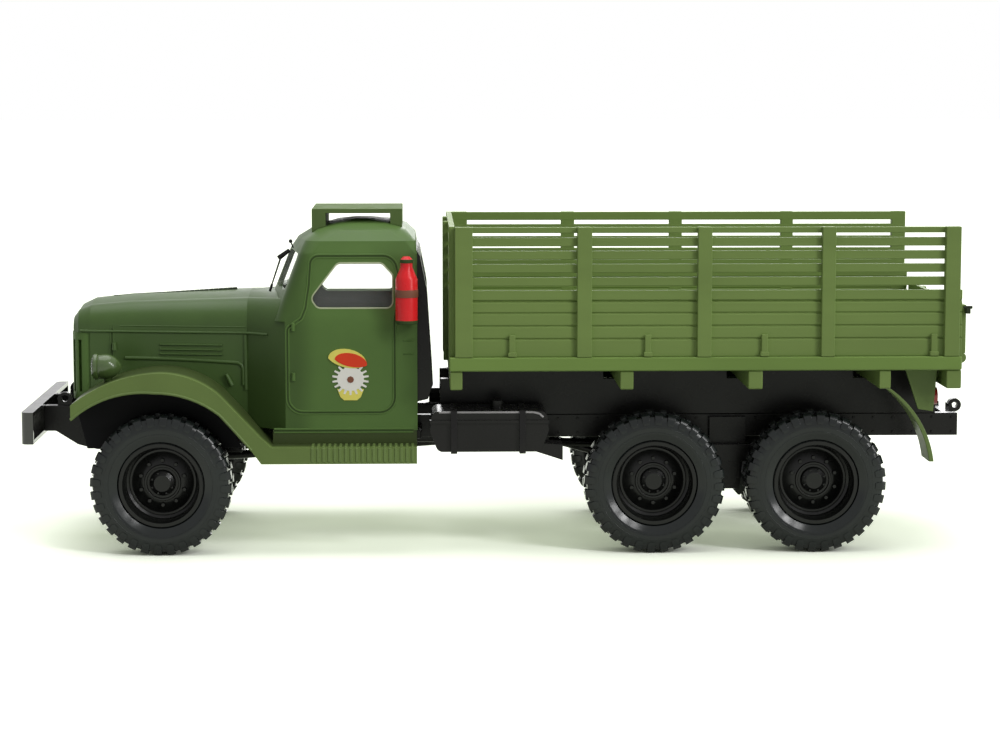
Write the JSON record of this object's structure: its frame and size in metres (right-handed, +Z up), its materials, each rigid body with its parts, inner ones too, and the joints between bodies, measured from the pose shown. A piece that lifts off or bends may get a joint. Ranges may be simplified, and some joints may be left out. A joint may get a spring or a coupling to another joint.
{
  "type": "scale model army cargo truck",
  "caption": "Scale model of a long-bonnet three-axle army cargo truck with slatted cargo bed, lowering tailgate, separate wings, glazed cab, ladder frame and wheelsets that turn.",
  "frame": {"origin": "on the ground under the middle of the overall box", "axes": "+X towards the tail, so the truck faces -X; -Y is its left side; +Z up"},
  "size_m": [0.166, 0.0538, 0.0588],
  "materials": {
    "cab_green": "satin olive green paint, the darkest green",
    "wing_green": "satin olive green, a little lighter",
    "bed_green": "matt olive green with moulded plank lines",
    "chassis_black": "black moulded plastic",
    "rim_black": "glossy black moulded plastic",
    "tyre_black": "black rubbery plastic with chunky shoulder lugs",
    "pin_steel": "plain steel pin",
    "clear_glazing": "clear moulded glazing",
    "lens_clear": "clear fluted lens",
    "lamp_red": "red lens",
    "bottle_red": "glossy red paint",
    "interior_black": "black moulded plastic"
  },
  "bodies": {
    "chassis": {"bed_bearers": "chassis_black", "bed_cross_beams": "bed_green", "bed_floor": "bed_green", "bed_front_wall": "bed_green", "bed_side_left": "bed_green", "bed_side_right": "bed_green", "bed_sills": "bed_green", "bogie_springs": "chassis_black", "bogie_trunnion": "chassis_black", "bonnet": "cab_green", "cab_floor": "interior_black", "cab_rear_wall": "chassis_black", "cab_shell": "cab_green", "chassis_frame": "chassis_black", "dashboard": "interior_black", "door_glass": "clear_glazing", "fire_extinguisher": "bottle_red", "front_axle_housing": "chassis_black", "front_bumper": "chassis_black", "front_springs": "chassis_black", "fuel_tank": "chassis_black", "grille": "cab_green", "headlamp_lenses": "lens_clear", "headlamps": "wing_green", "middle_axle_housing": "chassis_black", "mudflaps": "wing_green", "powertrain": "chassis_black", "propeller_shafts": "chassis_black", "rear_axle_housing": "chassis_black", "rear_glass": "clear_glazing", "roof_rack": "wing_green", "seat": "interior_black", "steering_wheel": "interior_black", "tail_lamp_brackets": "wing_green", "tail_lamps": "lamp_red", "tailgate_hinge": "chassis_black", "tool_box": "chassis_black", "tow_hook_rear": "chassis_black", "tow_hooks_front": "chassis_black", "transfer_case": "chassis_black", "wheel_arch_liners": "chassis_black", "winch": "chassis_black", "windscreen": "clear_glazing", "wing_left": "wing_green", "wing_right": "wing_green"},
    "front_wheelset": {"front_axle_pin": "pin_steel", "front_rims": "rim_black", "front_tyre_left": "tyre_black", "front_tyre_right": "tyre_black"},
    "middle_wheelset": {"middle_axle_pin": "pin_steel", "middle_rims": "rim_black", "middle_tyre_left": "tyre_black", "middle_tyre_right": "tyre_black"},
    "rear_wheelset": {"rear_axle_pin": "pin_steel", "rear_rims": "rim_black", "rear_tyre_left": "tyre_black", "rear_tyre_right": "tyre_black"},
    "tailgate": {"tailgate": "bed_green"}
  },
  "joints": [
    {"name": "front_wheels_turn", "type": "hinge", "parent": "chassis", "child": "front_wheelset", "pos_m": [-0.0593, 0, 0.01215], "axis": [0, 1, 0], "continuous": true},
    {"name": "middle_wheels_turn", "type": "hinge", "parent": "chassis", "child": "middle_wheelset", "pos_m": [0.0255, 0, 0.01215], "axis": [0, 1, 0], "continuous": true},
    {"name": "rear_wheels_turn", "type": "hinge", "parent": "chassis", "child": "rear_wheelset", "pos_m": [0.0534, 0, 0.01215], "axis": [0, 1, 0], "continuous": true},
    {"name": "tailgate_hinge_turn", "type": "hinge", "parent": "chassis", "child": "tailgate", "pos_m": [0.0787, 0, 0.03345], "axis": [0, 1, 0], "range_deg": [0, 170]}
  ]
}
